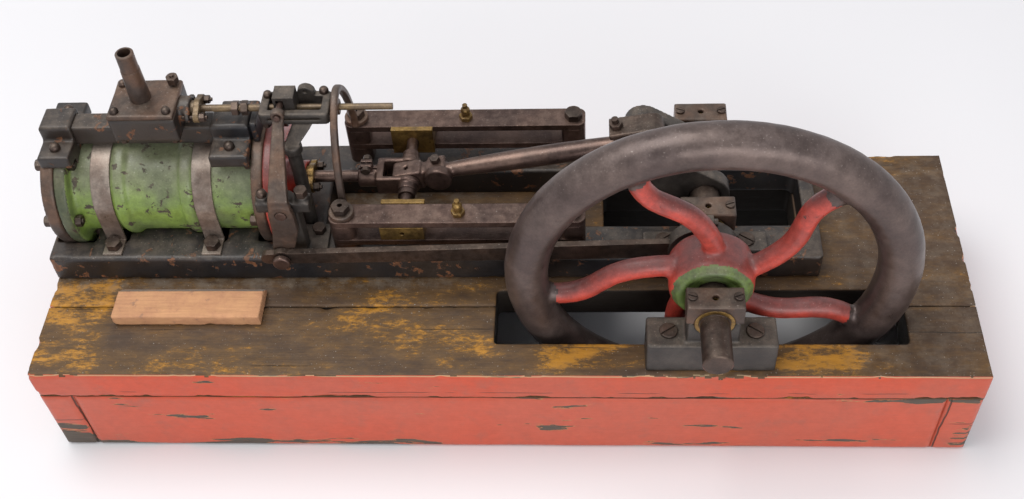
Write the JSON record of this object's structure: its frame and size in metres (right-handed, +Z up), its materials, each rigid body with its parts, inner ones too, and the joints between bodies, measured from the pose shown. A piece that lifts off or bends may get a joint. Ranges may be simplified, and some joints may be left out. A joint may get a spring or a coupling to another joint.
{
  "type": "model steam engine",
  "caption": "Horizontal model steam engine: cylinder, crosshead guides, crank, flywheel and rocker valve gear on a hollow wooden base.",
  "frame": {"origin": "middle of the whole object's footprint, on the surface that the base stands on", "axes": "+X along the base from the cylinder towards the crank, +Y from the flywheel side towards the back, +Z up"},
  "size_m": [0.6, 0.2084, 0.254],
  "materials": {
    "base_red_paint": "worn satin paint",
    "base_top_wood": "aged, dusty",
    "raw_wood": "bare",
    "black_paint": "worn satin",
    "green_paint": "worn gloss",
    "red_paint": "worn gloss",
    "aged_brown_iron": "dusty",
    "grey_iron": "dusty",
    "worn_steel": "tarnished",
    "dark_steel": "tarnished",
    "brass": "tarnished"
  },
  "bodies": {
    "base": {"base_top_front": "base_top_wood", "base_top_back": "base_top_wood", "base_long_planks": "base_red_paint", "base_end_planks": "base_red_paint", "wood_cleat": "raw_wood", "bedplate": "black_paint", "cylinder_barrel": "green_paint", "rear_cover": "aged_brown_iron", "front_cover": "red_paint", "cylinder_bolts": "dark_steel", "piston_gland": "brass", "gland_studs": "dark_steel", "cylinder_straps": "dark_steel", "steam_passage_bar": "black_paint", "passage_brackets": "aged_brown_iron", "bracket_screws": "dark_steel", "steam_chest": "black_paint", "chest_cover": "aged_brown_iron", "chest_bolts": "dark_steel", "inlet_pipe": "aged_brown_iron", "valve_gland": "brass", "guide_bars_upper": "worn_steel", "guide_bars_lower": "worn_steel", "guide_blocks": "worn_steel", "bed_bolts": "dark_steel", "oil_cups": "brass", "valve_guide_frame": "grey_iron", "valve_gear_bolts": "dark_steel", "guide_standard": "grey_iron", "arch_bracket": "aged_brown_iron", "rocker_bearing": "grey_iron", "outboard_pedestal": "grey_iron", "bed_pedestals": "grey_iron", "bearing_caps": "aged_brown_iron", "bearing_brasses": "brass", "bearing_screws": "dark_steel"},
    "crank": {"crankshaft": "dark_steel", "crank_webs": "grey_iron", "crank_pin": "worn_steel", "flywheel": "red_paint", "eccentric_sheave": "grey_iron"},
    "slide": {"crosshead": "worn_steel", "clamp_bolt": "dark_steel", "cross_pin": "worn_steel", "slippers": "brass", "piston_rod": "worn_steel", "piston": "grey_iron"},
    "rod": {"connecting_rod": "worn_steel", "big_end_strap": "dark_steel", "big_end_brasses": "brass", "rod_bolts": "dark_steel"},
    "rocker": {"rocker_lever": "aged_brown_iron", "rocker_pins": "worn_steel"},
    "eccentric": {"eccentric_rod": "dark_steel", "eccentric_strap": "grey_iron"},
    "valve": {"valve_spindle": "brass", "lock_nuts": "dark_steel", "slide_valve": "brass", "die_block": "grey_iron", "tail_rod": "brass"}
  },
  "joints": [
    {"name": "crank_turn", "type": "hinge", "parent": "base", "child": "crank", "pos_m": [0.13, 0.04675, 0.1285], "axis": [0, 1, 0], "range_deg": [-10, 30]},
    {"name": "crosshead_slide", "type": "slide", "parent": "base", "child": "slide", "axis": [1, 0, 0], "range_m": [-0.0079, 0.0234]},
    {"name": "connecting_rod_swing", "type": "hinge", "parent": "slide", "child": "rod", "pos_m": [-0.06199, 0.04675, 0.1285], "axis": [0, 1, 0], "range_deg": [-6.5, 2.2]},
    {"name": "rocker_swing", "type": "hinge", "parent": "base", "child": "rocker", "pos_m": [-0.1345, 0.00275, 0.152], "axis": [0, 1, 0], "range_deg": [-1.2, 3.5]},
    {"name": "eccentric_rod_swing", "type": "hinge", "parent": "rocker", "child": "eccentric", "pos_m": [-0.1395, -0.01215, 0.116], "axis": [0, 1, 0], "range_deg": [-3.9, 1.35]},
    {"name": "valve_slide", "type": "slide", "parent": "base", "child": "valve", "axis": [1, 0, 0], "range_m": [-0.001, 0.003]}
  ],
  "couplings": [
    {"joint": "crosshead_slide", "follows": "crank_turn", "m_per_rad": 0.04449},
    {"joint": "connecting_rod_swing", "follows": "crank_turn", "ratio": -0.2138},
    {"joint": "rocker_swing", "follows": "crank_turn", "ratio": 0.11305},
    {"joint": "eccentric_rod_swing", "follows": "crank_turn", "ratio": -0.12628},
    {"joint": "valve_slide", "follows": "crank_turn", "m_per_rad": 0.005539}
  ]
}
